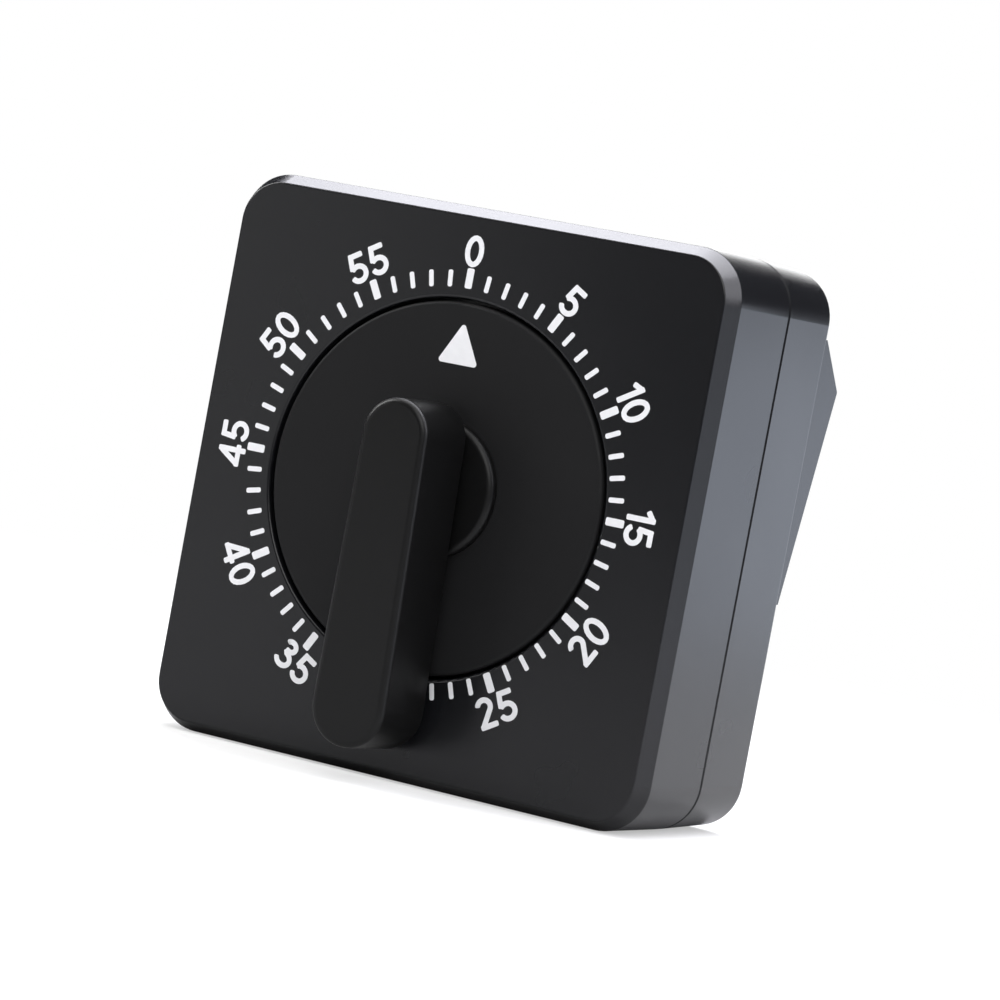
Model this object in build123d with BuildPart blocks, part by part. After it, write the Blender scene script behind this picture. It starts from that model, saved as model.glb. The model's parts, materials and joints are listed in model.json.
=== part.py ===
from build123d import *
import math
import os

os.makedirs("parts", exist_ok=True)

# A square clockwork kitchen timer with a bar handle on a round dial disc.
# X points right as seen from the front, Y to the back and Z up. Lengths are in millimetres.
# Depths are measured back from the face. Bearings are degrees anticlockwise from +X, seen from the front.

# Case
case_width = 68.0
case_height = 68.6
case_depth = 28.6
case_corner_radius = 6.2
case_wall = 2.0
face_bevel_inset = 1.2
face_bevel_depth = 2.2
edge_round = 0.3
seam_depth = 15.6
seam_bevel = 0.3
rear_draft_angle = 1.5
rear_edge_round = 1.0
lip_length = 2.0
lip_thickness = 1.0
lip_clearance = 0.15

# Wedge on the back, with a steep top, a ridge and a long lower slope, as drops from the case's top
wedge_top_drop = 7.9
wedge_ridge_drop = 13.9
wedge_foot_drop = 40.2
wedge_reach = 5.6
wedge_side_inset = 0.5
wedge_edge_round = 0.5

# Case screws, in posts near the four corners
post_inset = 5.0
post_radius = 3.2
screw_radius = 1.25
screw_hole_clearance = 0.25
screw_fit_clearance = 0.03
screw_head_radius = 2.2
screw_head_height = 1.6
screw_head_clearance = 0.25
screw_grip = 3.0
screw_bite = 8.0
cross_slot_width = 0.6
cross_slot_depth = 0.8

# Dial disc and the well that it turns in
dial_rise = 0.8
disc_radius = 22.2
disc_gap = 0.4
disc_sink = 0.05
disc_thickness = 2.0
disc_edge_round = 0.5
disc_hub_radius = 5.0
disc_hub_length = 3.2
well_behind_disc = 1.5
well_floor = 1.6
well_edge_round = 0.35
hub_hole_clearance = 0.4
knob_travel = 345.0
stop_bearing = 270.0
stop_radius = 18.0
stop_width = 2.0
stop_length = 3.0
stop_clearance = 0.4

# Bar handle, whose top rests a little left of upright
handle_bearing = 90.8
handle_reach = 11.9
handle_face_gap = 2.3
handle_top_end = 10.1
handle_top_width = 8.7
handle_bottom_end = 31.2
handle_bottom_width = 9.9
handle_draft_angle = 0.5
handle_edge_round = 0.8
handle_wall = 1.6
boss_radius = 8.4
boss_height = 1.2
boss_edge_round = 0.8
socket_depth = 7.0
socket_wall = 1.2

# Movement plates, pillars and screws
plate_gap_to_well = 0.8
plate_thickness = 1.0
plate_spacing = 10.0
plate_half_width = 24.0
plate_above_axis = 23.0
plate_below_axis = 22.0
plate_corner_cut = 4.0
pillar_across = 20.5
pillar_above_axis = 19.5
pillar_below_axis = 18.5
pillar_radius = 2.0
small_screw_radius = 0.9
small_screw_head_radius = 1.7
small_screw_head_height = 0.9
small_screw_length = 3.0
mount_across = 22.0
mount_up = 10.0
mount_boss_radius = 2.6

# Fits
running_clearance = 0.05
press_clearance = 0.02
end_shake = 0.2
cut_overrun = 1.0

# Main arbor
main_radius = 3.0
main_journal_radius = 2.5
main_flat_offset = 1.7
main_pivot_radius = 1.5
pivot_overhang = 0.4

# Mainspring
spring_inner_radius = 4.3
spring_turns = 8
spring_pitch = 1.2
spring_strip = 0.4
spring_height = 3.4
spring_front_gap = 0.4
spring_post_radius = 0.8

# Wheel train, as tooth counts, modules and bearings from each arbor to the next
great_teeth = 60
second_pinion_leaves = 10
second_teeth = 48
third_pinion_leaves = 8
third_teeth = 42
escape_pinion_leaves = 7
escape_teeth = 18
great_module = 0.5
fine_module = 0.38
mesh_slack = 0.03
second_bearing = 150.0
third_bearing = 38.0
escape_bearing = 25.0
pallet_bearing = -12.0
staff_radius = 0.85
pivot_radius = 0.5
great_thickness = 0.8
wheel_thickness = 0.6
pinion_overlap = 0.4
great_gap = 0.4
second_wheel_gap = 1.7
third_wheel_gap = 0.9
crossing_count = 5

# Tooth outline, as distances from the pitch circle in modules and half widths in tooth pitches
wheel_tooth_shares = ((-1.10, 0.28), (0.0, 0.21), (0.80, 0.09))
pinion_tooth_shares = ((-1.20, 0.19), (0.0, 0.19), (0.70, 0.10))
crossing_radius_share = 0.15
crossing_place_share = 0.58

# Ratchet and click
ratchet_teeth = 36
ratchet_radius = 5.4
ratchet_tooth_height = 0.5
ratchet_thickness = 0.8
ratchet_gap = 0.1
click_bearing = 280.0
click_swing = 58.0
click_pivot_place = 8.4
click_pivot_radius = 1.4
click_rivet_radius = 0.6
click_rivet_head = 0.2
click_beak_width = 1.5
click_nose_clearance = 0.12
click_spring_strip = 0.3
click_spring_gap = 0.4
click_spring_foot_radius = 1.0
click_spring_foot_place = 11.2

# Escapement
escape_radius = 5.0
escape_tooth_height = 1.3
escape_hub_gap = 2.0
escape_tip_width = 0.2
escape_lead_share = -0.12
escape_trail_share = 0.62
pallet_distance = 7.2
pallet_half_span = 45.0
pallet_nib_width = 0.4
pallet_nib_length = 1.4
pallet_clearance = 0.18
pallet_arm_width = 1.2
pallet_hub_radius = 1.8
balance_gap = 5.3
balance_radius = 6.0
balance_rim = 1.4
balance_arm_width = 1.6
balance_thickness = 1.4

# Strike
cam_gap = 7.6
cam_radius = 6.2
cam_drop = 1.6
cam_thickness = 0.8
cam_steps = 12
cam_step_bearing = 0.0
hammer_across = 17.5
hammer_up = -4.0
hammer_staff_radius = 0.9
hammer_rear_radius = 0.8
hammer_arm_gap = 0.5
hammer_arm_thickness = 0.6
hammer_arm_width = 2.2
hammer_hub_radius = 1.8
hammer_head_radius = 1.6
hammer_head_length = 3.4
hammer_bell_gap = 0.5
hammer_bearing = 300.0
tail_clearance = 0.45
tail_width = 1.6

# Bell
bell_up = -8.0
bell_radius = 15.0
bell_wall = 0.8
bell_skirt = 1.6
bell_rim_gap = 1.6
bell_back_gap = 0.8
bell_stud_radius = 2.4
bell_bolt_radius = 1.2
bell_nut_radius = 2.4
bell_nut_height = 1.0

# Places worked out from the sizes above
face_y = (handle_reach - case_depth - wedge_reach) / 2
back_y = face_y + case_depth
axis_height = case_height / 2 + dial_rise
case_middle_up = case_height / 2 - axis_height
well_radius = disc_radius + disc_gap
disc_back = disc_sink + disc_thickness
well_depth = disc_back + well_behind_disc
plate_front = well_depth + well_floor + plate_gap_to_well
movement_front = plate_front + plate_thickness
movement_back = movement_front + plate_spacing
plate_back = movement_back + plate_thickness
spring_front = movement_front + spring_front_gap
great_front = spring_front + spring_height + great_gap
great_back = great_front + great_thickness
ratchet_front = great_back + ratchet_gap
second_wheel_front = great_back + second_wheel_gap
third_wheel_front = second_wheel_front + wheel_thickness + third_wheel_gap
escape_front = movement_front + escape_hub_gap
balance_front = movement_front + balance_gap
cam_front = movement_front + cam_gap
hammer_arm_front = plate_back + hammer_arm_gap
bell_rim_depth = plate_back + bell_rim_gap
bell_crown_depth = case_depth - case_wall - bell_back_gap - bell_nut_height
bell_shoulder = bell_crown_depth - bell_rim_depth - bell_skirt


def beside(start, bearing, distance):
    """The point at a bearing and distance from another, as (across, up) from the dial axis."""
    turn = math.radians(bearing)
    return start[0] + distance * math.cos(turn), start[1] + distance * math.sin(turn)


def station(depth, place=(0, 0)):
    """Plane that faces the front at a depth behind the face, centred at a place beside the dial axis."""
    return Plane((place[0], face_y + depth, axis_height + place[1]), x_dir=(1, 0, 0), z_dir=(0, -1, 0))


def rear_station(depth, place=(0, 0)):
    """Plane that faces the back at a depth behind the face."""
    return Plane((place[0], face_y + depth, axis_height + place[1]), x_dir=(-1, 0, 0), z_dir=(0, 1, 0))


case_middle = (0, case_middle_up)
post_across = case_width / 2 - post_inset
post_up = case_height / 2 - post_inset
post_places = [(x, case_middle_up + z) for x in (-post_across, post_across) for z in (-post_up, post_up)]
mount_places = [(x, z) for x in (-mount_across, mount_across) for z in (-mount_up, mount_up)]
pillar_rows = (-pillar_below_axis, pillar_above_axis)
pillar_places = [(x, z) for x in (-pillar_across, pillar_across) for z in pillar_rows]

main_place = (0, 0)
great_reach = great_module * (great_teeth + second_pinion_leaves) / 2 + mesh_slack
second_reach = fine_module * (second_teeth + third_pinion_leaves) / 2 + mesh_slack
third_reach = fine_module * (third_teeth + escape_pinion_leaves) / 2 + mesh_slack
second_place = beside(main_place, second_bearing, great_reach)
third_place = beside(second_place, third_bearing, second_reach)
escape_place = beside(third_place, escape_bearing, third_reach)
pallet_place = beside(escape_place, pallet_bearing, pallet_distance)
hammer_place = (hammer_across, hammer_up)
bell_place = (0, bell_up)
head_place = beside(bell_place, hammer_bearing, bell_radius + hammer_bell_gap + hammer_head_radius)


def case_outline(inset=0, mode=Mode.ADD):
    """Rounded square of the case, drawn in by an inset, in the open sketch."""
    RectangleRounded(case_width - 2 * inset, case_height - 2 * inset, case_corner_radius - inset, mode=mode)


# Front half of the case
with BuildPart() as front_housing:
    with BuildSketch(station(0, case_middle)):
        case_outline()
    extrude(amount=-seam_depth)
    face_front = front_housing.faces().sort_by(Axis.Y)[0]
    chamfer(face_front.edges(), face_bevel_inset, face_bevel_depth, reference=face_front)
    fillet(front_housing.edges().group_by(Axis.Y)[0], edge_round)
    bevel_edges = front_housing.edges().filter_by_position(
        Axis.Y, face_y + face_bevel_depth - edge_round, face_y + face_bevel_depth + edge_round
    )
    fillet(bevel_edges, edge_round)
    chamfer(front_housing.edges().group_by(Axis.Y)[-1], seam_bevel)
    with BuildSketch(station(case_wall, case_middle)):
        case_outline(case_wall)
    extrude(amount=-seam_depth, mode=Mode.SUBTRACT)
    with BuildSketch(station(case_wall)):
        Circle(well_radius + case_wall)
    extrude(amount=case_wall - well_depth - well_floor)
    with BuildSketch(station(case_wall)):
        with Locations(*post_places):
            Circle(post_radius)
    extrude(amount=case_wall - seam_depth)
    with BuildSketch(station(case_wall)):
        with Locations(*mount_places):
            Circle(mount_boss_radius)
    extrude(amount=case_wall - plate_front)
    with BuildSketch(station(0)):
        Circle(well_radius)
    extrude(amount=-well_depth, mode=Mode.SUBTRACT)
    front_circles = front_housing.edges().filter_by(GeomType.CIRCLE).group_by(Axis.Y)[0]
    fillet(front_circles.sort_by(SortBy.RADIUS)[-1], well_edge_round)
    with BuildSketch(station(well_depth)):
        with PolarLocations(stop_radius, 1, stop_bearing):
            Rectangle(stop_length, stop_width)
    extrude(amount=well_behind_disc - stop_clearance)
    with BuildSketch(station(well_depth)):
        Circle(disc_hub_radius + hub_hole_clearance)
    extrude(amount=-well_floor - cut_overrun, mode=Mode.SUBTRACT)
    with BuildSketch(station(seam_depth)):
        with Locations(*post_places):
            Circle(screw_radius + screw_fit_clearance)
    extrude(amount=screw_bite + cut_overrun, mode=Mode.SUBTRACT)
    with BuildSketch(station(plate_front)):
        with Locations(*mount_places):
            Circle(small_screw_radius + screw_fit_clearance)
    extrude(amount=small_screw_length, mode=Mode.SUBTRACT)
front_housing.part.label = "front_housing"
export_step(front_housing.part, "parts/front_housing.step")

# Rear half of the case, with its wedge
wedge_half_width = case_width / 2 - wedge_side_inset


def wedge_points(root_y):
    """Side outline of the wedge, as (depth place, height), standing on a wall whose back is at root_y."""
    return [
        (root_y - case_wall, case_height - wedge_top_drop),
        (root_y, case_height - wedge_top_drop),
        (root_y + wedge_reach, case_height - wedge_ridge_drop),
        (root_y, case_height - wedge_foot_drop),
        (root_y - case_wall, case_height - wedge_foot_drop),
    ]


with BuildPart() as rear_cover:
    with BuildSketch(rear_station(seam_depth, case_middle)):
        case_outline()
    extrude(amount=case_depth - seam_depth, taper=rear_draft_angle)
    fillet(rear_cover.edges().group_by(Axis.Y)[-1], rear_edge_round)
    chamfer(rear_cover.edges().group_by(Axis.Y)[0], seam_bevel)
    with BuildSketch(Plane.YZ):
        Polygon(*wedge_points(back_y))
    extrude(amount=wedge_half_width, both=True)
    fillet(rear_cover.edges().group_by(Axis.Y)[-1], wedge_edge_round)
    with BuildSketch(rear_station(seam_depth, case_middle)):
        case_outline(case_wall)
    extrude(amount=case_depth - seam_depth - case_wall, taper=rear_draft_angle, mode=Mode.SUBTRACT)
    with BuildSketch(Plane.YZ):
        Polygon(*wedge_points(back_y - case_wall))
    extrude(amount=wedge_half_width - case_wall, both=True, mode=Mode.SUBTRACT)
    lip_outside = case_wall + lip_clearance
    lip_inside = lip_outside + lip_thickness
    with BuildSketch(rear_station(seam_depth, case_middle)):
        case_outline(case_wall / 2)
        case_outline(lip_inside, Mode.SUBTRACT)
    extrude(amount=lip_length)
    with BuildSketch(station(seam_depth, case_middle)):
        case_outline(lip_outside)
        case_outline(lip_inside, Mode.SUBTRACT)
    extrude(amount=lip_length)
    with BuildSketch(station(seam_depth)):
        with Locations(*post_places):
            Circle(post_radius + lip_clearance)
    extrude(amount=lip_length + cut_overrun, mode=Mode.SUBTRACT)
    with BuildSketch(station(seam_depth)):
        with Locations(*post_places):
            Circle(post_radius)
    extrude(amount=seam_depth - case_depth + case_wall)
    with BuildSketch(station(seam_depth)):
        with Locations(*post_places):
            Circle(screw_radius + screw_hole_clearance)
    extrude(amount=-screw_grip - cut_overrun, mode=Mode.SUBTRACT)
    with BuildSketch(station(seam_depth + screw_grip)):
        with Locations(*post_places):
            Circle(screw_head_radius + screw_head_clearance)
    extrude(amount=seam_depth - case_depth - wedge_reach, mode=Mode.SUBTRACT)
rear_cover.part.label = "rear_cover"
export_step(rear_cover.part, "parts/rear_cover.step")


def screw_group(places, head_front, shank_length, shank_radius, head_radius, head_height):
    """Cross-slotted screws that point to the front, with their heads seated at one depth."""
    with BuildPart() as group:
        with BuildSketch(station(head_front)):
            with Locations(*places):
                Circle(head_radius)
        extrude(amount=-head_height)
        with BuildSketch(station(head_front)):
            with Locations(*places):
                Circle(shank_radius)
        extrude(amount=shank_length)
        with BuildSketch(station(head_front + head_height)):
            with Locations(*places):
                Rectangle(head_radius, cross_slot_width)
                Rectangle(cross_slot_width, head_radius)
        extrude(amount=min(cross_slot_depth, head_height / 2), mode=Mode.SUBTRACT)
    return group


case_screws = screw_group(
    post_places,
    seam_depth + screw_grip,
    screw_grip + screw_bite,
    screw_radius,
    screw_head_radius,
    screw_head_height,
)
case_screws.part.label = "case_screws"
export_step(case_screws.part, "parts/case_screws.step")


def flatted_round(clearance=0):
    """Section of the main arbor's front end, round with a flat on top, in the open sketch."""
    Circle(main_journal_radius + clearance)
    with Locations((0, main_flat_offset + clearance)):
        Rectangle(2 * main_radius, main_radius, align=(Align.CENTER, Align.MIN), mode=Mode.SUBTRACT)


# Dial disc, with a hub through the well floor and a lug that meets the stop
lug_bearing = stop_bearing - (360 - knob_travel) / 2
with BuildPart() as dial_disc:
    with BuildSketch(station(disc_sink)):
        Circle(disc_radius)
    extrude(amount=-disc_thickness)
    fillet(dial_disc.edges().group_by(Axis.Y)[0], disc_edge_round)
    with BuildSketch(station(disc_back)):
        Circle(disc_hub_radius)
    extrude(amount=-disc_hub_length)
    with BuildSketch(station(disc_back)):
        with PolarLocations(stop_radius, 1, lug_bearing):
            Rectangle(stop_length, stop_width)
    extrude(amount=stop_clearance - well_behind_disc)
    with BuildSketch(station(disc_sink - cut_overrun)):
        flatted_round(press_clearance)
    extrude(amount=-disc_thickness - disc_hub_length - 2 * cut_overrun, mode=Mode.SUBTRACT)
dial_disc.part.label = "dial_disc"
export_step(dial_disc.part, "parts/dial_disc.step")

# Bar handle, hollow from behind, on a neck that rises from its round boss and takes the arbor
handle_top_radius = handle_top_width / 2
handle_bottom_radius = handle_bottom_width / 2
handle_rise = handle_reach - handle_face_gap


def bar_outline(wall=0):
    """Long round-ended outline of the bar, drawn in by a wall, in the open sketch."""
    with Locations(beside((0, 0), handle_bearing, handle_top_end - handle_top_radius)):
        Circle(handle_top_radius - wall)
    with Locations(beside((0, 0), handle_bearing, handle_bottom_radius - handle_bottom_end)):
        Circle(handle_bottom_radius - wall)
    make_hull()


with BuildPart() as turn_handle:
    with BuildSketch(station(disc_sink)):
        Circle(boss_radius)
    extrude(amount=boss_height + disc_sink)
    fillet(turn_handle.edges().group_by(Axis.Y)[0], boss_edge_round)
    with BuildSketch(station(-handle_face_gap)):
        bar_outline()
    extrude(amount=handle_rise, taper=handle_draft_angle)
    fillet(turn_handle.edges().group_by(Axis.Y)[0], handle_edge_round)
    with BuildSketch(station(-handle_face_gap)):
        bar_outline(handle_wall)
    extrude(amount=handle_rise - handle_wall, taper=handle_draft_angle, mode=Mode.SUBTRACT)
    with BuildSketch(station(disc_sink)):
        Circle(main_journal_radius + socket_wall)
    extrude(amount=socket_depth + handle_wall)
    with BuildSketch(station(disc_sink)):
        flatted_round(press_clearance)
    extrude(amount=socket_depth, mode=Mode.SUBTRACT)
turn_handle.part.label = "turn_handle"
export_step(turn_handle.part, "parts/turn_handle.step")


def plate(front, bores):
    """Movement plate at a depth, with bores given as (place, radius) pairs."""
    height = plate_above_axis + plate_below_axis
    middle = (plate_above_axis - plate_below_axis) / 2
    with BuildPart() as sheet:
        with BuildSketch(station(front)) as outline:
            with Locations((0, middle)):
                Rectangle(2 * plate_half_width, height)
            chamfer(outline.vertices(), plate_corner_cut)
            for place, radius in bores:
                with Locations(place):
                    Circle(radius, mode=Mode.SUBTRACT)
        extrude(amount=-plate_thickness)
    return sheet


# The two plates, with the bores that carry the arbors
train_places = (second_place, third_place, escape_place, pallet_place)
pivot_bore = pivot_radius + running_clearance
train_bores = [(place, pivot_bore) for place in train_places]
screw_bore_radius = small_screw_radius + screw_hole_clearance
front_plate = plate(
    plate_front,
    train_bores
    + [(main_place, main_journal_radius + running_clearance), (hammer_place, pivot_bore)]
    + [(place, screw_bore_radius) for place in mount_places],
)
front_plate.part.label = "front_plate"
export_step(front_plate.part, "parts/front_plate.step")

back_plate = plate(
    movement_back,
    train_bores
    + [(main_place, main_pivot_radius + running_clearance)]
    + [(hammer_place, hammer_rear_radius + running_clearance)]
    + [(place, screw_bore_radius) for place in pillar_places],
)
back_plate.part.label = "back_plate"
export_step(back_plate.part, "parts/back_plate.step")

with BuildPart() as pillars:
    with BuildSketch(station(movement_front)):
        with Locations(*pillar_places):
            Circle(pillar_radius)
    extrude(amount=-plate_spacing)
    with BuildSketch(station(movement_back)):
        with Locations(*pillar_places):
            Circle(small_screw_radius + screw_fit_clearance)
    extrude(amount=small_screw_length, mode=Mode.SUBTRACT)
pillars.part.label = "pillars"
export_step(pillars.part, "parts/pillars.step")

pillar_screws = screw_group(
    pillar_places,
    plate_back,
    small_screw_length,
    small_screw_radius,
    small_screw_head_radius,
    small_screw_head_height,
)
pillar_screws.part.label = "pillar_screws"
export_step(pillar_screws.part, "parts/pillar_screws.step")

movement_screws = screw_group(
    mount_places,
    movement_front,
    small_screw_length,
    small_screw_radius,
    small_screw_head_radius,
    small_screw_head_height,
)
movement_screws.part.label = "movement_screws"
export_step(movement_screws.part, "parts/movement_screws.step")

# Main arbor, with a flat that drives the disc and handle
with BuildPart() as main_arbor:
    with BuildSketch(station(disc_sink - socket_depth)):
        flatted_round()
    extrude(amount=disc_sink - socket_depth - disc_back - disc_hub_length)
    with BuildSketch(station(disc_back + disc_hub_length)):
        Circle(main_journal_radius)
    extrude(amount=disc_back + disc_hub_length - movement_front - end_shake)
    with BuildSketch(station(movement_front + end_shake)):
        Circle(main_radius)
    extrude(amount=2 * end_shake - plate_spacing)
    with BuildSketch(station(movement_back - end_shake)):
        Circle(main_pivot_radius)
    extrude(amount=-end_shake - plate_thickness - pivot_overhang)
main_arbor.part.label = "main_arbor"
export_step(main_arbor.part, "parts/main_arbor.step")

# Mainspring as half turns that widen by half a pitch each, about two centres in turn
half_pitch = spring_pitch / 2
spring_outer_radius = spring_inner_radius + spring_turns * spring_pitch


def spiral_side(shift):
    """Half-turn arcs of the strip as (centre, radius, start angle), moved outward by a shift."""
    return [
        ((half % 2 * half_pitch, 0), spring_inner_radius + half * half_pitch + shift, 180 * (half % 2))
        for half in range(2 * spring_turns)
    ]


with BuildPart() as mainspring:
    with BuildSketch(station(spring_front)):
        with BuildLine():
            for shift in (-spring_strip / 2, spring_strip / 2):
                for centre, radius, start in spiral_side(shift):
                    CenterArc(centre, radius, start, 180)
            for end in (spring_inner_radius, spring_outer_radius):
                Line((end - spring_strip / 2, 0), (end + spring_strip / 2, 0))
        make_face()
    extrude(amount=-spring_height)
mainspring.part.label = "mainspring"
export_step(mainspring.part, "parts/mainspring.step")

# Pin on the front plate that holds the spring's outer end
spring_post_across = spring_outer_radius + spring_strip / 2 + running_clearance + spring_post_radius
with BuildPart() as spring_post:
    with BuildSketch(station(movement_front, (spring_post_across, 0))):
        Circle(spring_post_radius)
    extrude(amount=-spring_front_gap - spring_height)
spring_post.part.label = "spring_post"
export_step(spring_post.part, "parts/spring_post.step")


def tooth_outline(teeth, module, shares, tooth_bearing):
    """Points of a toothed rim about its own centre, with one tooth centred on a bearing."""
    pitch_radius = module * teeth / 2
    pitch_angle = 360 / teeth
    rising = [(pitch_radius + module * height, -width) for height, width in shares]
    falling = [(radius, -width) for radius, width in reversed(rising)]
    return [
        beside((0, 0), tooth_bearing + pitch_angle * (tooth + width), radius)
        for tooth in range(teeth)
        for radius, width in rising + falling
    ]


def wheel_sketch(teeth, module, bore_radius, tooth_bearing, crossing_bearing=0):
    """Toothed wheel with a bore and round lightening holes, in the open sketch."""
    pitch_radius = module * teeth / 2
    Polygon(*tooth_outline(teeth, module, wheel_tooth_shares, tooth_bearing))
    Circle(bore_radius, mode=Mode.SUBTRACT)
    with PolarLocations(crossing_place_share * pitch_radius, crossing_count, crossing_bearing):
        Circle(crossing_radius_share * pitch_radius, mode=Mode.SUBTRACT)


def arbor(place, wheel_front=0, wheel_depth=0, leaves=0, module=0, tooth_bearing=0):
    """Staff with a pivot in each plate, and a pinion that meshes with a wheel whose tooth points at it."""
    with BuildPart() as staff:
        with BuildSketch(station(movement_front + end_shake, place)):
            Circle(staff_radius)
        extrude(amount=2 * end_shake - plate_spacing)
        with BuildSketch(station(plate_front, place)):
            Circle(pivot_radius)
        extrude(amount=plate_front - plate_back)
        if leaves:
            leaf_bearing = tooth_bearing + 180 + 180 / leaves
            with BuildSketch(station(wheel_front - pinion_overlap, place)):
                Polygon(*tooth_outline(leaves, module, pinion_tooth_shares, leaf_bearing))
            extrude(amount=-wheel_depth - 2 * pinion_overlap)
    return staff


# Great wheel, free on the main arbor, with a hole for the click's rivet
click_pivot_bearing = click_bearing + click_swing
click_place = beside(main_place, click_pivot_bearing, click_pivot_place)
great_bore = main_radius + running_clearance
great_crossing_bearing = click_pivot_bearing + 180 / crossing_count
with BuildPart() as great_wheel:
    with BuildSketch(station(great_front)):
        wheel_sketch(great_teeth, great_module, great_bore, second_bearing, great_crossing_bearing)
        with Locations(click_place):
            Circle(click_rivet_radius + press_clearance, mode=Mode.SUBTRACT)
    extrude(amount=-great_thickness)
great_wheel.part.label = "great_wheel"
export_step(great_wheel.part, "parts/great_wheel.step")

# Ratchet wheel, fixed on the main arbor
ratchet_root = ratchet_radius - ratchet_tooth_height
ratchet_pitch = 360 / ratchet_teeth
ratchet_outline = [
    beside((0, 0), click_bearing + ratchet_pitch * (tooth + side), radius)
    for tooth in range(ratchet_teeth)
    for side, radius in ((0, ratchet_root), (1, ratchet_radius))
]
with BuildPart() as ratchet_wheel:
    with BuildSketch(station(ratchet_front)):
        Polygon(*ratchet_outline)
        Circle(main_radius + press_clearance, mode=Mode.SUBTRACT)
    extrude(amount=-ratchet_thickness)
ratchet_wheel.part.label = "ratchet_wheel"
export_step(ratchet_wheel.part, "parts/ratchet_wheel.step")

# Click, whose beak stands against a ratchet tooth
nose_bearing = click_bearing + math.degrees(click_nose_clearance / ratchet_root)
heel_bearing = nose_bearing + ratchet_pitch
click_top = beside(main_place, nose_bearing, ratchet_radius + click_beak_width)
click_shoulder = beside(main_place, click_pivot_bearing, click_pivot_place + click_pivot_radius)
click_points = [
    beside(main_place, nose_bearing, ratchet_root + 2 * click_nose_clearance),
    beside(main_place, heel_bearing, ratchet_radius + 3 * click_nose_clearance),
    beside(main_place, click_pivot_bearing, click_pivot_place - click_pivot_radius),
    click_shoulder,
    click_top,
]
with BuildPart() as click:
    with BuildSketch(station(ratchet_front)):
        Polygon(*click_points)
        with Locations(click_place):
            Circle(click_pivot_radius)
            Circle(click_rivet_radius + running_clearance, mode=Mode.SUBTRACT)
    extrude(amount=-ratchet_thickness)
click.part.label = "click"
export_step(click.part, "parts/click.step")

with BuildPart() as click_rivet:
    with BuildSketch(station(great_front, click_place)):
        Circle(click_rivet_radius)
    extrude(amount=-great_thickness - 2 * ratchet_gap - ratchet_thickness)
    with BuildSketch(station(ratchet_front + ratchet_thickness + ratchet_gap, click_place)):
        Circle(click_pivot_radius)
    extrude(amount=-click_rivet_head)
click_rivet.part.label = "click_rivet"
export_step(click_rivet.part, "parts/click_rivet.step")

# Leaf spring on the great wheel that holds the click in
click_edge_middle = ((click_top[0] + click_shoulder[0]) / 2, (click_top[1] + click_shoulder[1]) / 2)
click_edge_bearing = math.degrees(
    math.atan2(click_shoulder[1] - click_top[1], click_shoulder[0] - click_top[0])
)
leaf_tip = beside(click_edge_middle, click_edge_bearing - 90, click_spring_gap + click_spring_strip / 2)
leaf_foot = beside(main_place, heel_bearing, click_spring_foot_place)
with BuildPart() as click_spring:
    with BuildSketch(station(great_back)):
        with BuildLine():
            Line(leaf_foot, leaf_tip)
        trace(line_width=click_spring_strip)
        with Locations(leaf_foot):
            Circle(click_spring_foot_radius)
    extrude(amount=-ratchet_gap - ratchet_thickness)
click_spring.part.label = "click_spring"
export_step(click_spring.part, "parts/click_spring.step")

# Second, third and escape arbors with their wheels
wheel_bore = staff_radius + press_clearance
second_arbor = arbor(
    second_place, great_front, great_thickness, second_pinion_leaves, great_module, second_bearing
)
second_arbor.part.label = "second_arbor"
export_step(second_arbor.part, "parts/second_arbor.step")

with BuildPart() as second_wheel:
    with BuildSketch(station(second_wheel_front, second_place)):
        wheel_sketch(second_teeth, fine_module, wheel_bore, third_bearing)
    extrude(amount=-wheel_thickness)
second_wheel.part.label = "second_wheel"
export_step(second_wheel.part, "parts/second_wheel.step")

third_arbor = arbor(
    third_place, second_wheel_front, wheel_thickness, third_pinion_leaves, fine_module, third_bearing
)
third_arbor.part.label = "third_arbor"
export_step(third_arbor.part, "parts/third_arbor.step")

with BuildPart() as third_wheel:
    with BuildSketch(station(third_wheel_front, third_place)):
        wheel_sketch(third_teeth, fine_module, wheel_bore, escape_bearing)
    extrude(amount=-wheel_thickness)
third_wheel.part.label = "third_wheel"
export_step(third_wheel.part, "parts/third_wheel.step")

escape_arbor = arbor(
    escape_place, third_wheel_front, wheel_thickness, escape_pinion_leaves, fine_module, escape_bearing
)
escape_arbor.part.label = "escape_arbor"
export_step(escape_arbor.part, "parts/escape_arbor.step")

# Escape wheel, with a tooth a quarter pitch past each pallet
escape_pitch = 360 / escape_teeth
escape_root = escape_radius - escape_tooth_height
escape_tip_share = math.degrees(escape_tip_width / escape_radius) / escape_pitch / 2
escape_tooth_bearing = pallet_bearing + pallet_half_span + escape_pitch / 4
escape_profile = (
    (escape_lead_share, escape_root),
    (-escape_tip_share, escape_radius),
    (escape_tip_share, escape_radius),
    (escape_trail_share, escape_root),
)
escape_outline = [
    beside((0, 0), escape_tooth_bearing + escape_pitch * (tooth + side), radius)
    for tooth in range(escape_teeth)
    for side, radius in escape_profile
]
with BuildPart() as escape_wheel:
    with BuildSketch(station(escape_front, escape_place)):
        Polygon(*escape_outline)
        Circle(wheel_bore, mode=Mode.SUBTRACT)
    extrude(amount=-wheel_thickness)
escape_wheel.part.label = "escape_wheel"
export_step(escape_wheel.part, "parts/escape_wheel.step")

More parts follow.
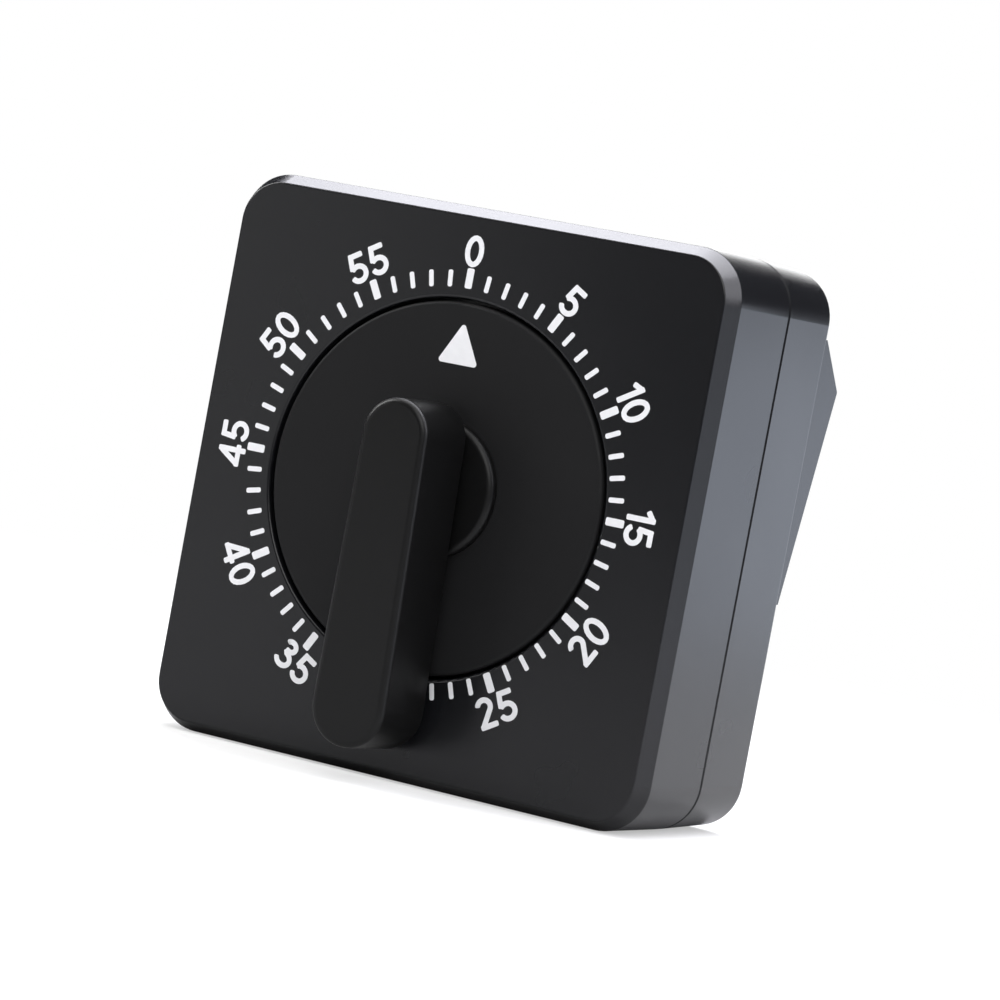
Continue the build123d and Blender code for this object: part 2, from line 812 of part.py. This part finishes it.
# Pallet, an anchor with a nib on each arm just clear of the escape wheel's tips
nib_inner = escape_radius + pallet_clearance
nib_outer = nib_inner + pallet_nib_length
nib_middle = (nib_inner + nib_outer) / 2
first_nib_bearing = pallet_bearing - pallet_half_span
pallet_hub = beside((0, 0), pallet_bearing, pallet_distance)
with BuildPart() as pallet:
    with BuildSketch(station(escape_front, escape_place)):
        with BuildLine():
            for side in (-pallet_half_span, pallet_half_span):
                Line(pallet_hub, beside((0, 0), pallet_bearing + side, nib_outer))
        trace(line_width=pallet_arm_width)
        Circle(nib_middle, mode=Mode.SUBTRACT)
        with PolarLocations(nib_middle, 2, first_nib_bearing, 2 * pallet_half_span, endpoint=True):
            Rectangle(pallet_nib_length, pallet_nib_width)
        with Locations(pallet_hub):
            Circle(pallet_hub_radius)
            Circle(wheel_bore, mode=Mode.SUBTRACT)
    extrude(amount=-wheel_thickness)
pallet.part.label = "pallet"
export_step(pallet.part, "parts/pallet.step")

pallet_arbor = arbor(pallet_place)
pallet_arbor.part.label = "pallet_arbor"
export_step(pallet_arbor.part, "parts/pallet_arbor.step")

with BuildPart() as balance:
    with BuildSketch(station(balance_front, pallet_place)):
        Circle(balance_radius)
        Circle(balance_radius - balance_rim, mode=Mode.SUBTRACT)
        Rectangle(2 * balance_radius - balance_rim, balance_arm_width)
        Circle(pallet_hub_radius)
        Circle(wheel_bore, mode=Mode.SUBTRACT)
    extrude(amount=-balance_thickness)
balance.part.label = "balance"
export_step(balance.part, "parts/balance.step")

# Strike cam, a snail on the main arbor
cam_turn_shares = [step / cam_steps for step in range(cam_steps + 1)]
cam_outline = [
    beside((0, 0), cam_step_bearing + 360 * share, cam_radius - cam_drop * (1 - share))
    for share in cam_turn_shares
]
with BuildPart() as strike_cam:
    with BuildSketch(station(cam_front)):
        Polygon(*cam_outline)
        Circle(main_radius + press_clearance, mode=Mode.SUBTRACT)
    extrude(amount=-cam_thickness)
strike_cam.part.label = "strike_cam"
export_step(strike_cam.part, "parts/strike_cam.step")

# Hammer arbor, with a tail beside the cam and an arm behind the back plate
tail_bearing = math.degrees(math.atan2(hammer_up, hammer_across))
tail_tip = beside(main_place, tail_bearing, cam_radius + tail_clearance)
hammer_back = hammer_arm_front + hammer_arm_thickness
with BuildPart() as hammer_arbor:
    with BuildSketch(station(plate_front, hammer_place)):
        Circle(pivot_radius)
    extrude(amount=-plate_thickness - end_shake)
    with BuildSketch(station(movement_front + end_shake, hammer_place)):
        Circle(hammer_staff_radius)
    extrude(amount=2 * end_shake - plate_spacing)
    with BuildSketch(station(movement_back - end_shake, hammer_place)):
        Circle(hammer_rear_radius)
    extrude(amount=movement_back - end_shake - hammer_back)
hammer_arbor.part.label = "hammer_arbor"
export_step(hammer_arbor.part, "parts/hammer_arbor.step")

with BuildPart() as hammer_tail:
    with BuildSketch(station(cam_front)):
        with BuildLine():
            Line(hammer_place, tail_tip)
        trace(line_width=tail_width)
        with Locations(hammer_place):
            Circle(hammer_hub_radius)
            Circle(hammer_staff_radius + press_clearance, mode=Mode.SUBTRACT)
    extrude(amount=-cam_thickness)
hammer_tail.part.label = "hammer_tail"
export_step(hammer_tail.part, "parts/hammer_tail.step")

with BuildPart() as hammer:
    with BuildSketch(station(hammer_arm_front)):
        with BuildLine():
            Line(hammer_place, head_place)
        trace(line_width=hammer_arm_width)
        with Locations(hammer_place):
            Circle(hammer_hub_radius)
            Circle(hammer_rear_radius + press_clearance, mode=Mode.SUBTRACT)
    extrude(amount=-hammer_arm_thickness)
    with BuildSketch(station(hammer_arm_front, head_place)):
        Circle(hammer_head_radius)
    extrude(amount=-hammer_head_length)
hammer.part.label = "hammer"
export_step(hammer.part, "parts/hammer.step")

# Bell, a cup that opens to the front, on a stud with a nut behind it
bell_plane = Plane((0, face_y, axis_height + bell_up), x_dir=(1, 0, 0), z_dir=(0, 0, 1))
bell_hole = bell_bolt_radius + press_clearance
bell_inside = bell_radius - bell_wall
shoulder_centre = (bell_radius - bell_shoulder, bell_crown_depth - bell_shoulder)
with BuildPart() as bell:
    with BuildSketch(bell_plane):
        with BuildLine():
            Line((bell_hole, bell_crown_depth), (shoulder_centre[0], bell_crown_depth))
            CenterArc(shoulder_centre, bell_shoulder, 0, 90)
            Polyline(
                (bell_radius, shoulder_centre[1]),
                (bell_radius, bell_rim_depth),
                (bell_inside, bell_rim_depth),
                (bell_inside, shoulder_centre[1]),
            )
            CenterArc(shoulder_centre, bell_shoulder - bell_wall, 0, 90)
            Polyline(
                (shoulder_centre[0], bell_crown_depth - bell_wall),
                (bell_hole, bell_crown_depth - bell_wall),
                (bell_hole, bell_crown_depth),
            )
        make_face()
    revolve(axis=Axis(bell_plane.origin, (0, 1, 0)))
bell.part.label = "bell"
export_step(bell.part, "parts/bell.step")

with BuildPart() as bell_stud:
    with BuildSketch(station(plate_back, bell_place)):
        Circle(bell_stud_radius)
    extrude(amount=plate_back - bell_crown_depth + bell_wall)
    with BuildSketch(station(bell_crown_depth - bell_wall, bell_place)):
        Circle(bell_bolt_radius)
    extrude(amount=-bell_wall - bell_nut_height)
bell_stud.part.label = "bell_stud"
export_step(bell_stud.part, "parts/bell_stud.step")

with BuildPart() as bell_nut:
    with BuildSketch(station(bell_crown_depth, bell_place)):
        RegularPolygon(bell_nut_radius, 6)
        Circle(bell_hole, mode=Mode.SUBTRACT)
    extrude(amount=-bell_nut_height)
bell_nut.part.label = "bell_nut"
export_step(bell_nut.part, "parts/bell_nut.step")
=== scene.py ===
import json
import math
import bmesh
import bpy
from mathutils import Matrix, Vector


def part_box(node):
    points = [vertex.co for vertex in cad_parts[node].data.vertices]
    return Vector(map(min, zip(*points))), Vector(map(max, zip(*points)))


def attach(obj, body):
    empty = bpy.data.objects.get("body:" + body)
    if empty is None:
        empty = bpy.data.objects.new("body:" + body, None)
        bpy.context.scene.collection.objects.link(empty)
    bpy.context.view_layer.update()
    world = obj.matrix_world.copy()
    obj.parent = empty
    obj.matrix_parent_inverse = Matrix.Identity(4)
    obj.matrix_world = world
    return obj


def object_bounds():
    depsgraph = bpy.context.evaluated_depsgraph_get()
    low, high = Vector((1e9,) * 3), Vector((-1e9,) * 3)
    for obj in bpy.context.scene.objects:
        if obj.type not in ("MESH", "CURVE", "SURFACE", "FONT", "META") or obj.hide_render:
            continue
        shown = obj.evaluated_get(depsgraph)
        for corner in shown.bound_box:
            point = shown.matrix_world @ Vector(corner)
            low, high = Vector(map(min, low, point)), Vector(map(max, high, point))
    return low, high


# A square clockwork kitchen timer in black plastic, with a white printed minute ring.
# Lengths are in metres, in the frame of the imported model: X right, Y to the back, Z up.
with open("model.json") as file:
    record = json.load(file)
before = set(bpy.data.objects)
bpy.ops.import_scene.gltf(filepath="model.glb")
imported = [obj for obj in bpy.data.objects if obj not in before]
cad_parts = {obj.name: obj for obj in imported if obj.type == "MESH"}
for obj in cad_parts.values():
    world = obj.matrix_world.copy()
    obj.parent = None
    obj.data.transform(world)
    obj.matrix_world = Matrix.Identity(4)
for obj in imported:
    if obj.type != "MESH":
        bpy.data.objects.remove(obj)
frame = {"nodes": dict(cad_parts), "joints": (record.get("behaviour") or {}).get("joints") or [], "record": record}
cad_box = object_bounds()
MM = 0.001

# Places read from the frame
nodes = frame["nodes"]
dial_joint = next(joint for joint in frame["joints"] if joint["name"] == "knob_turn")
axis_x, _, axis_z = dial_joint["pos_m"]
face_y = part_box("front_housing")[0].y
disc_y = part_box("dial_disc")[0].y

# Minute ring, printed a little left of and above the dial axis
print_shift = Vector((-0.4, 0.36)) * MM
minute_count = 60
minutes_per_number = 5
minor_tick_length = 2.0 * MM
minor_tick_width = 0.60 * MM
minor_tick_radius = 24.45 * MM
major_tick_length = 2.4 * MM
major_tick_width = 0.95 * MM
major_tick_radius = 24.65 * MM
tick_corner_radius = 0.22 * MM
ink_height = 0.03 * MM
ink_sink = 0.01 * MM

# Numbers, whose tops point outward on the upper half of the ring and inward on the lower half
number_radius = 27.9 * MM
digit_height = 3.8 * MM
digit_stroke_share = 0.175
digit_corner_share = 0.05
digit_gap_share = 0.10
inward_numbers = (20, 25, 30, 35, 40)

# Pointer on the disc
pointer_tip_radius = 19.9 * MM
pointer_base_radius = 14.8 * MM
pointer_half_width = 2.8 * MM
pointer_corner_radius = 0.35 * MM

# Steps along round outlines
corner_steps = 6
arc_steps = 20
floor_segments = 96

# Grain and clouds of the finishes, whose tones and roughness run between two values of the noise
plastic_grain = 9000
grain_detail = 2.0
cloud_detail = 3.0
noise_span = (0.1, 0.9)

# Camera, as the place and aim that fit the photo's minute ring, with its roll
camera_place = (0.25541, -0.47558, 0.05860)
camera_aim = (0.00896, -0.01115, 0.03531)
camera_roll = math.radians(10.526)
camera_lens = 162.0
camera_sensor = 36.0

# Colours of the light
white = (1.0, 1.0, 1.0)
cool_white = (0.93, 0.93, 1.0)
sky_white = (0.73, 0.81, 1.0)
backdrop_white = (0.88, 0.93, 1.0)

# Floor, where the dimming runs along the direction of the backdrop
floor_radius = 0.30
floor_fade_start = 0.10
floor_drop = 0.02 * MM
floor_albedo = 0.5
floor_white_lift = 0.45
floor_front_dimming = 0.62
floor_dimming_start = 0.02
floor_dimming_end = -0.05

# World, where a span holds two places and the strengths of the backdrop's reflection there
white_level = 1.0
ambient_level = 0.36
backdrop_direction = (0.45, 1.0, 0.0)
backdrop_height_span = (-0.01, 0.08, 1.0, 0.04)
backdrop_side_span = (0.34, 0.44, 0.08, 1.0)


def new_object(name, data):
    """Link a mesh, a lamp or a camera to the scene as a named object."""
    piece = bpy.data.objects.new(name, data)
    bpy.context.scene.collection.objects.link(piece)
    return piece


# Shader nodes

def node_adder(owner):
    """Empty the node tree of a material or world, and return a function that adds nodes to it."""
    owner.use_nodes = True
    tree = owner.node_tree
    tree.nodes.clear()

    def add(kind, *sources, inputs=None, **settings):
        """Add a node, link sources to its first inputs, and set or link other inputs by name."""
        node = tree.nodes.new(kind)
        for name, value in settings.items():
            setattr(node, name, value)
        for source, socket in zip(sources, node.inputs):
            tree.links.new(source, socket)
        for name, value in (inputs or {}).items():
            if isinstance(value, bpy.types.NodeSocket):
                tree.links.new(value, node.inputs[name])
            else:
                node.inputs[name].default_value = value
        return node

    return add


def opaque(colour):
    """A colour with full alpha."""
    return (*colour, 1)


def noise(add, place, scale, detail, stretch=(1, 1, 1)):
    """Noise at a place, with a scale in features per metre and a stretch along each axis."""
    stretched = add("ShaderNodeMapping", place, inputs={"Scale": stretch})
    texture = add("ShaderNodeTexNoise", stretched.outputs[0], inputs={"Scale": scale, "Detail": detail})
    return texture.outputs["Fac"]


def map_range(add, value, span, kind="LINEAR"):
    """Map a number by a span, which holds two numbers and what they become."""
    ends = dict(zip(("From Min", "From Max", "To Min", "To Max"), span))
    return add("ShaderNodeMapRange", value, inputs=ends, interpolation_type=kind).outputs["Result"]


def two_tones(add, value, tones):
    """Blend two colours by a noise."""
    ramp = add("ShaderNodeValToRGB", value)
    for element, position, tone in zip(ramp.color_ramp.elements, noise_span, tones):
        element.position = position
        element.color = opaque(tone)
    return ramp.outputs["Color"]


def product(add, first, second):
    """Product of two numbers."""
    return add("ShaderNodeMath", first, second, operation="MULTIPLY").outputs[0]


def blend(add, share, first, second):
    """Mix of two shaders, by the share of the second."""
    return add("ShaderNodeMixShader", share, first, second).outputs[0]


def toward_backdrop(add, place):
    """How far a place or a direction lies toward the backdrop."""
    toward = add("ShaderNodeVectorMath", place, operation="DOT_PRODUCT")
    toward.inputs[1].default_value = backdrop_direction
    return toward.outputs["Value"]


# Finishes of the plastics, metals and ink

def surface(
    name, tones, rough, grain_scale, grain_depth, cloud_scale=60, metallic=0.0, ior=1.5, streak=(1, 1, 1)
):
    """A finish with clouded colour, uneven roughness and a fine raised grain."""
    material = bpy.data.materials.new(name)
    add = node_adder(material)
    place = add("ShaderNodeTexCoord").outputs["Object"]
    clouds = noise(add, place, cloud_scale, cloud_detail)
    grain = noise(add, place, grain_scale, grain_detail, streak)
    bump = add("ShaderNodeBump", inputs={"Height": grain, "Distance": grain_depth})
    shader = add("ShaderNodeBsdfPrincipled", inputs={
        "Base Color": two_tones(add, clouds, tones),
        "Roughness": map_range(add, clouds, (*noise_span, *rough)),
        "Metallic": metallic,
        "IOR": ior,
        "Normal": bump.outputs["Normal"],
    })
    add("ShaderNodeOutputMaterial", shader.outputs["BSDF"])
    return material


finishes = {
    "case_black": surface(
        "case_black_satin", ((0.0056, 0.0058, 0.0070), (0.0068, 0.0070, 0.0084)), rough=(0.23, 0.29),
        grain_scale=plastic_grain, grain_depth=0.6e-6,
    ),
    "knob_black": surface(
        "disc_black_matt", ((0.0112, 0.0112, 0.0118), (0.0128, 0.0128, 0.0134)), rough=(0.40, 0.48),
        grain_scale=plastic_grain, grain_depth=1.2e-6, ior=1.26,
    ),
    "screw_steel": surface(
        "zinc_plated_steel", ((0.50, 0.50, 0.49), (0.62, 0.62, 0.60)), rough=(0.25, 0.38),
        grain_scale=2500, grain_depth=2e-6, cloud_scale=400, metallic=1.0,
    ),
    "plate_steel": surface(
        "rolled_steel", ((0.44, 0.44, 0.45), (0.54, 0.54, 0.55)), rough=(0.28, 0.40),
        grain_scale=900, grain_depth=2e-6, cloud_scale=120, metallic=1.0, streak=(1, 1, 12),
    ),
    "arbor_steel": surface(
        "turned_steel", ((0.40, 0.40, 0.41), (0.50, 0.50, 0.51)), rough=(0.20, 0.30),
        grain_scale=1500, grain_depth=1e-6, cloud_scale=300, metallic=1.0, streak=(1, 14, 1),
    ),
    "spring_steel": surface(
        "blued_steel", ((0.10, 0.13, 0.22), (0.17, 0.20, 0.30)), rough=(0.22, 0.32),
        grain_scale=1200, grain_depth=1e-6, cloud_scale=150, metallic=1.0, streak=(1, 8, 1),
    ),
    "brass": surface(
        "stamped_brass", ((0.66, 0.48, 0.20), (0.76, 0.58, 0.28)), rough=(0.22, 0.34),
        grain_scale=1400, grain_depth=1e-6, cloud_scale=180, metallic=1.0,
    ),
    "bell_nickel": surface(
        "nickel_plate", ((0.68, 0.66, 0.62), (0.74, 0.72, 0.68)), rough=(0.10, 0.16),
        grain_scale=1600, grain_depth=0.6e-6, cloud_scale=90, metallic=1.0,
    ),
}
handle_finish = surface(
    "handle_black_satin", ((0.0032, 0.0032, 0.0033), (0.0040, 0.0040, 0.0041)), rough=(0.34, 0.40),
    grain_scale=plastic_grain, grain_depth=0.6e-6, ior=1.4,
)
white_ink = surface(
    "white_ink", ((0.80, 0.80, 0.82), (0.88, 0.88, 0.90)), rough=(0.40, 0.50),
    grain_scale=5000, grain_depth=1.5e-6, cloud_scale=900,
)

for subpart in frame["record"]["subparts"]:
    for slot in nodes[subpart["node"]].material_slots:
        slot.material = finishes[subpart["material_slot"]]
for slot in nodes["turn_handle"].material_slots:
    slot.material = handle_finish


# Flat shapes of ink, drawn as (across, up) points on the dial

def rounded_polygon(corners, radius):
    """Corner points replaced by arcs of one radius, for corners in anticlockwise order."""
    points = []
    for index, corner in enumerate(corners):
        corner = Vector(corner)
        before = (Vector(corners[index - 1]) - corner).normalized()
        after = (Vector(corners[(index + 1) % len(corners)]) - corner).normalized()
        half_angle = before.angle(after) / 2
        middle = (before + after).normalized()
        centre = corner + middle * radius / math.sin(half_angle)
        sweep = math.pi - 2 * half_angle
        start = math.atan2(-middle.y, -middle.x) - sweep / 2
        for step in range(corner_steps + 1):
            angle = start + sweep * step / corner_steps
            points.append(centre + radius * Vector((math.cos(angle), math.sin(angle))))
    return points


def on_dial(point, lift, front_y):
    """Place of a dial point that stands a lift in front of a surface."""
    return Vector((axis_x + point[0], front_y - lift, axis_z + point[1]))


def add_prism(mesh, points, front_y):
    """Thin solid of ink with an outline, on a surface that faces the front."""
    front = [mesh.verts.new(on_dial(point, ink_height, front_y)) for point in points]
    back = [mesh.verts.new(on_dial(point, -ink_sink, front_y)) for point in points]
    mesh.faces.new(front)
    mesh.faces.new(reversed(back))
    for index in range(len(points)):
        mesh.faces.new((front[index - 1], back[index - 1], back[index], front[index]))


def ink_piece(name, mesh, body):
    """Finish a mesh of ink as a piece that rides on a body."""
    bmesh.ops.recalc_face_normals(mesh, faces=mesh.faces)
    data = bpy.data.meshes.new(name)
    mesh.to_mesh(data)
    mesh.free()
    data.materials.append(white_ink)
    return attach(new_object(name, data), body)


def minute_bearing(minute):
    """Angle of a minute on the dial, anticlockwise from +X as seen from the front."""
    return math.radians(90 - minute * 360 / minute_count)


def tick_outline(minute):
    """Rounded bar that points away from the middle of the ring."""
    major = minute % minutes_per_number == 0
    length = major_tick_length if major else minor_tick_length
    width = major_tick_width if major else minor_tick_width
    radius = major_tick_radius if major else minor_tick_radius
    low, high, side = radius - length / 2, radius + length / 2, width / 2
    turn = Matrix.Rotation(minute_bearing(minute), 2)
    corners = ((low, -side), (high, -side), (high, side), (low, side))
    return rounded_polygon([print_shift + turn @ Vector(corner) for corner in corners], tick_corner_radius)


ticks = bmesh.new()
for minute in range(minute_count):
    add_prism(ticks, tick_outline(minute), face_y)
ink_piece("minute_ticks", ticks, "case")

pointer = bmesh.new()
pointer_corners = [
    (-pointer_half_width, pointer_base_radius),
    (pointer_half_width, pointer_base_radius),
    (0, pointer_tip_radius),
]
add_prism(pointer, rounded_polygon(pointer_corners, pointer_corner_radius), disc_y)
ink_piece("dial_pointer", pointer, "knob")


# Digits, each as its width and the middle lines of its strokes, in shares of its height
half_stroke = digit_stroke_share / 2
top_line = 1 - half_stroke
middle_height = 0.5


def arc(centre, reach, start, end):
    """Middle line of a stroke from one angle to another, in degrees, that reaches out to an ellipse."""
    across, up = (radius - half_stroke for radius in reach)
    angles = [math.radians(start + (end - start) * step / arc_steps) for step in range(arc_steps + 1)]
    return [(centre[0] + across * math.cos(angle), centre[1] + up * math.sin(angle)) for angle in angles]


digit_shares = {
    0: (0.66, [arc((0.33, 0.5), (0.33, 0.5), 0, 360)[:-1]]),
    1: (0.40, [
        [(0.40 - half_stroke, 0), (0.40 - half_stroke, 1)],
        [(0.40 - half_stroke, top_line), (0.03, 0.71)],
    ]),
    2: (0.64, [
        arc((0.31, 0.70), (0.31, 0.30), 170, -38) + [(0.10, half_stroke)],
        [(0.02, half_stroke), (0.64, half_stroke)],
    ]),
    3: (0.64, [
        arc((0.30, 0.755), (0.275, 0.245), 165, -90) + [(0.19, 0.51 + half_stroke)],
        [(0.21, 0.51 + half_stroke)] + arc((0.30, 0.295), (0.34, 0.295), 90, -165),
    ]),
    4: (0.70, [
        [(0.52, 0), (0.52, 1)],
        [(0.50, top_line), (half_stroke, 0.27)],
        [(0, 0.27), (0.70, 0.27)],
    ]),
    5: (0.66, [
        [(0.14, top_line), (0.61, top_line)],
        [(0.19, 1), (0.12, 0.46)],
        arc((0.32, 0.325), (0.34, 0.325), 145, -162),
    ]),
}
closed_digits = (0,)


def end_rings(tip, inward):
    """Places and half widths that round the corners of a stroke's end, from its tip inward."""
    rings = []
    for step in range(corner_steps + 1):
        angle = math.pi / 2 * step / corner_steps
        place = tip + inward * digit_corner_share * (1 - math.cos(angle))
        rings.append((place, half_stroke - digit_corner_share * (1 - math.sin(angle))))
    return rings


def stroke_rings(points, closed):
    """Places, directions and half widths along a stroke."""
    points = [Vector(point) for point in points]
    rings = []
    for index, here in enumerate(points):
        after = points[(index + 1) % len(points)]
        before = points[index - 1]
        if closed or 0 < index < len(points) - 1:
            along = ((here - before).normalized() + (after - here).normalized()).normalized()
            rings.append((here, along, half_stroke))
        elif index == 0:
            along = (after - here).normalized()
            rings += [(place, along, width) for place, width in end_rings(here, along)]
        else:
            along = (here - before).normalized()
            rings += [(place, along, width) for place, width in reversed(end_rings(here, -along))]
    return rings


def stroke_mesh(points, closed):
    """Solid band along a line of points, one digit stroke wide."""
    mesh = bmesh.new()
    sections = []
    for place, along, width in stroke_rings(points, closed):
        side = Vector((-along.y, along.x)) * width
        corners = [(place + side, 1), (place - side, 1), (place - side, 0), (place + side, 0)]
        sections.append([mesh.verts.new((corner.x, corner.y, lift)) for corner, lift in corners])
    for index in range(len(sections) if closed else len(sections) - 1):
        first, second = sections[index], sections[(index + 1) % len(sections)]
        for edge in range(len(first)):
            mesh.faces.new((first[edge], first[edge - 1], second[edge - 1], second[edge]))
    if not closed:
        mesh.faces.new(sections[0])
        mesh.faces.new(reversed(sections[-1]))
    bmesh.ops.recalc_face_normals(mesh, faces=mesh.faces)
    data = bpy.data.meshes.new("stroke")
    mesh.to_mesh(data)
    mesh.free()
    return new_object("stroke", data)


def digit_mesh(digit):
    """The strokes of a digit joined into one solid, on a unit height and a unit lift."""
    bands = [stroke_mesh(points, digit in closed_digits) for points in digit_shares[digit][1]]
    for band in bands[1:]:
        union = bands[0].modifiers.new("union", "BOOLEAN")
        union.operation = "UNION"
        union.solver = "EXACT"
        union.object = band
    evaluated = bands[0].evaluated_get(bpy.context.evaluated_depsgraph_get())
    joined = bpy.data.meshes.new_from_object(evaluated)
    for band in bands:
        bpy.data.objects.remove(band)
    return joined


def add_number(mesh, number, digits):
    """Add a number to a mesh of ink, centred on its place in the ring."""
    bearing = minute_bearing(number)
    outward = Vector((math.cos(bearing), math.sin(bearing)))
    up = -outward if number in inward_numbers else outward
    along = Vector((up.y, -up.x))
    places = [int(character) for character in str(number)]
    widths = [digit_shares[digit][0] for digit in places]
    length = sum(widths) + digit_gap_share * (len(places) - 1)
    centre = print_shift + outward * number_radius
    pen = -length / 2
    for digit, width in zip(places, widths):
        first_vertex = len(mesh.verts)
        mesh.from_mesh(digits[digit])
        mesh.verts.ensure_lookup_table()
        for vertex in mesh.verts[first_vertex:]:
            across, height, lift = vertex.co
            point = centre + along * (pen + across) * digit_height
            point += up * (height - middle_height) * digit_height
            vertex.co = on_dial(point, lift * (ink_height + ink_sink) - ink_sink, face_y)
        pen += width + digit_gap_share


digits = {digit: digit_mesh(digit) for digit in digit_shares}
numbers = bmesh.new()
for number in range(0, minute_count, minutes_per_number):
    add_number(numbers, number, digits)
ink_piece("minute_numbers", numbers, "case")


# Floor, which keeps the shadow close to the timer

def floor_material():
    """Pale and matt, fading into white for the camera and dimmer in front for gloss."""
    material = bpy.data.materials.new("pale_floor")
    add = node_adder(material)

    def matt(albedo):
        return add("ShaderNodeBsdfDiffuse", inputs={"Color": (albedo, albedo, albedo, 1)}).outputs[0]

    def glow(strength):
        return add("ShaderNodeEmission", inputs={"Strength": strength}).outputs[0]

    ray = add("ShaderNodeLightPath").outputs
    place = add("ShaderNodeTexCoord").outputs["Object"]
    distance = add("ShaderNodeVectorMath", place, operation="LENGTH").outputs["Value"]
    fade = map_range(add, distance, (floor_fade_start, floor_radius, 0, 1), "SMOOTHSTEP")
    front_span = (floor_dimming_start, floor_dimming_end, 0, 1)
    front = map_range(add, toward_backdrop(add, place), front_span, "SMOOTHSTEP")
    plain = matt(floor_albedo)
    dim = matt(floor_albedo * floor_front_dimming)
    lifted = add("ShaderNodeAddShader", plain, glow(floor_white_lift)).outputs[0]
    reflected = blend(add, product(add, front, ray["Is Glossy Ray"]), plain, dim)
    near = blend(add, ray["Is Camera Ray"], reflected, lifted)
    whole = blend(add, product(add, fade, ray["Is Camera Ray"]), near, glow(white_level))
    add("ShaderNodeOutputMaterial", whole)
    return material


def make_floor():
    """Round floor under the timer."""
    mesh = bmesh.new()
    bmesh.ops.create_circle(mesh, cap_ends=True, segments=floor_segments, radius=floor_radius)
    data = bpy.data.meshes.new("floor")
    mesh.to_mesh(data)
    mesh.free()
    floor = new_object("floor", data)
    floor.location.z = cad_box[0].z - floor_drop
    data.materials.append(floor_material())


make_floor()


# World

def make_world():
    """White to the camera, plain ambient light, and for gloss a pale band low behind in a dark room."""
    world = bpy.data.worlds.new("studio")
    bpy.context.scene.world = world
    add = node_adder(world)

    def background(colour, strength):
        light = {"Color": opaque(colour), "Strength": strength}
        return add("ShaderNodeBackground", inputs=light).outputs[0]

    ray = add("ShaderNodeLightPath").outputs
    direction = add("ShaderNodeTexCoord").outputs["Generated"]
    height = add("ShaderNodeSeparateXYZ", direction).outputs["Z"]
    low = map_range(add, height, backdrop_height_span, "SMOOTHSTEP")
    behind = map_range(add, toward_backdrop(add, direction), backdrop_side_span, "SMOOTHSTEP")
    band = background(backdrop_white, product(add, low, behind))
    gloss = add("ShaderNodeMath", ray["Is Glossy Ray"], ray["Is Transmission Ray"], operation="MAXIMUM")
    room = blend(add, gloss.outputs[0], background(white, ambient_level), band)
    whole = blend(add, ray["Is Camera Ray"], room, background(white, white_level))
    add("ShaderNodeOutputWorld", whole)


make_world()


# Softboxes, as name, place, size, strength per area, colour and the point they face
object_middle = (0.0, 0.0, 0.034)
softboxes = (
    ("back_right_softbox", (0.19, 0.31, 0.036), (0.30, 0.072), 1.0, sky_white, (0.0, 0.0, 0.036)),
    ("low_right_softbox", (0.50, -0.01, 0.025), (0.16, 0.10), 0.8, sky_white, (0.0, -0.01, 0.025)),
    ("back_left_softbox", (-0.20, 0.45, 0.165), (0.30, 0.15), 3.0, white, (0.0, 0.0, 0.068)),
    ("top_softbox", (-0.03, 0.20, 0.60), (0.96, 0.24), 9.0, cool_white, (-0.10, 0.0, 0.034)),
    ("right_softbox", (0.55, 0.04, 0.39), (0.30, 0.50), 4.0, cool_white, (0.0, 0.0, 0.060)),
    ("ceiling_softbox", (-0.05, -0.10, 0.70), (0.80, 0.50), 1.8, white, object_middle),
    ("front_left_softbox", (-0.346, -0.438, 0.09), (0.20, 0.22), 0.80, white, (0.0, -0.011, 0.09)),
    ("upper_left_softbox", (-0.58, -0.135, 0.40), (0.32, 0.46), 6.8, white, object_middle),
    ("key_softbox", (0.33, -0.62, 0.48), (0.60, 0.50), 2.6, white, object_middle),
)
for name, place, size, strength, colour, target in softboxes:
    lamp = bpy.data.lights.new(name, "AREA")
    lamp.shape = "RECTANGLE"
    lamp.size, lamp.size_y = size
    lamp.energy = strength * math.pi * size[0] * size[1]
    lamp.color = colour
    softbox = new_object(name, lamp)
    softbox.location = place
    softbox.rotation_euler = (Vector(target) - Vector(place)).to_track_quat("-Z", "Y").to_euler()
    softbox.visible_camera = False

# Camera
camera_data = bpy.data.cameras.new("camera")
camera_data.lens = camera_lens
camera_data.sensor_width = camera_sensor
camera = new_object("camera", camera_data)
looking = (Vector(camera_aim) - Vector(camera_place)).to_track_quat("-Z", "Y")
camera.matrix_world = (
    Matrix.Translation(camera_place) @ looking.to_matrix().to_4x4() @ Matrix.Rotation(camera_roll, 4, "Z")
)
bpy.context.scene.camera = camera
bpy.context.scene.view_settings.view_transform = "Standard"
